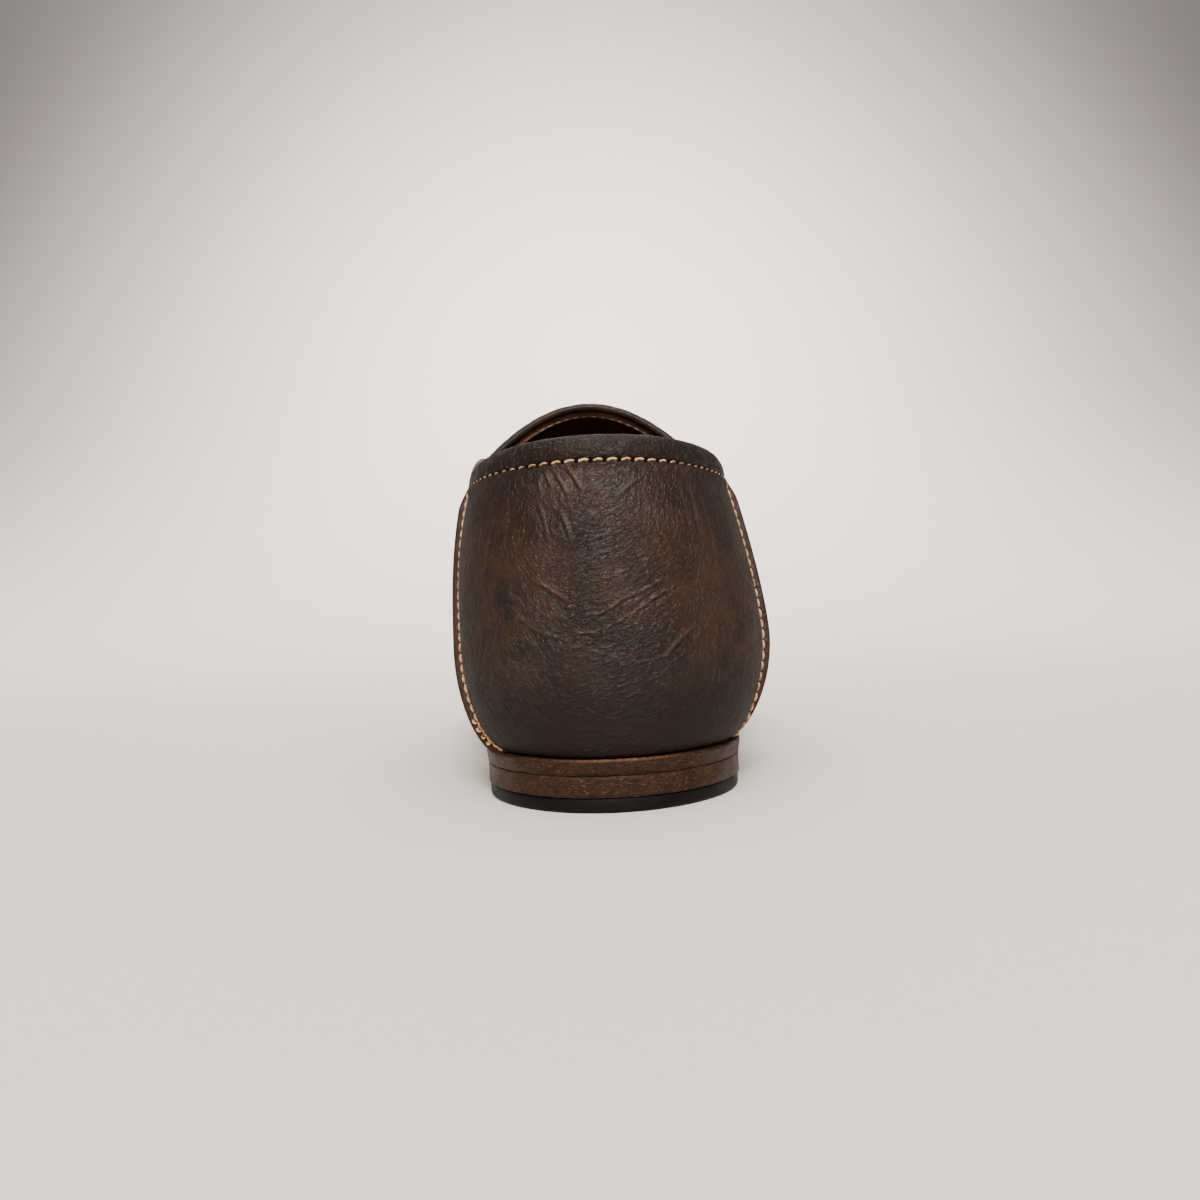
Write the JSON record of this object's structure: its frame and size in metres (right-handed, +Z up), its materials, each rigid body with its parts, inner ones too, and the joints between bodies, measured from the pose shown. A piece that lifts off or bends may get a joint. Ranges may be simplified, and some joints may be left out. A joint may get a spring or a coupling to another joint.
{
  "type": "bit loafer",
  "caption": "Slip-on leather loafer for the right foot with a hollow upper, stitched collar band, snaffle bit, leather sole and low stacked heel.",
  "frame": {"origin": "middle of the bounding box in plan, on the floor", "axes": "+Y from heel to toe, +X to the outer (lateral) side of the foot, +Z up"},
  "size_m": [0.0996, 0.288, 0.1055],
  "materials": {
    "upper_leather": "dark brown grained leather, slightly glossy",
    "sole_leather": "brown stacked leather, satin edge",
    "lining_leather": "smooth brown lining leather, matt",
    "rubber": "black, matt",
    "brass": "polished, slightly aged"
  },
  "bodies": {
    "root": {"upper": "upper_leather", "collar_band": "upper_leather", "throat_binding": "upper_leather", "bit_tab_lateral": "upper_leather", "bit_tab_medial": "upper_leather", "bit": "brass", "insole": "lining_leather", "outsole": "sole_leather", "heel_lift": "sole_leather", "heel_top_piece": "rubber"}
  },
  "joints": []
}
